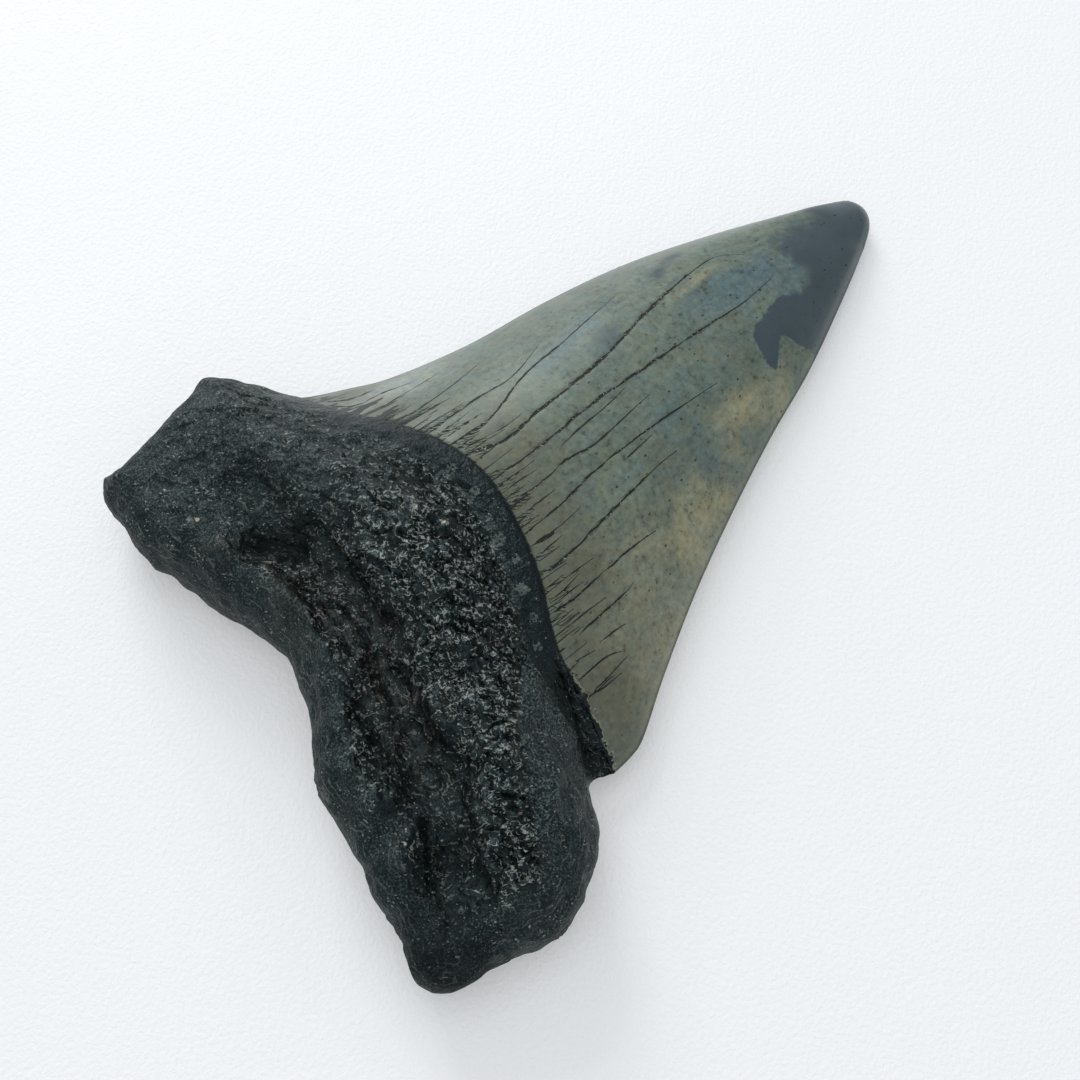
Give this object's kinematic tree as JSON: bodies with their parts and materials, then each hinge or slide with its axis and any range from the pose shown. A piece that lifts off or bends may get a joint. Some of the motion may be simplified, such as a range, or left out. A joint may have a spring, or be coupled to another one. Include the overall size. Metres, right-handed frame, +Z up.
{
  "type": "megalodon tooth",
  "caption": "Fossil shark tooth lying on its flat labial face: a leaning blade crown on a thick arched root with a pitted, ledged lingual bulge.",
  "frame": {"origin": "middle of the bounding box in plan, on the surface the tooth lies on", "axes": "+Y from the root to the tip, +X across the root with the tip leaning to -X, +Z up out of the lingual face"},
  "size_m": [0.0682, 0.0896, 0.0169],
  "materials": {
    "tooth": "one mineralised piece: satin grey-green enamel on the crown, semi-gloss black pitted root"
  },
  "bodies": {
    "root": {"tooth": "tooth"}
  },
  "joints": []
}
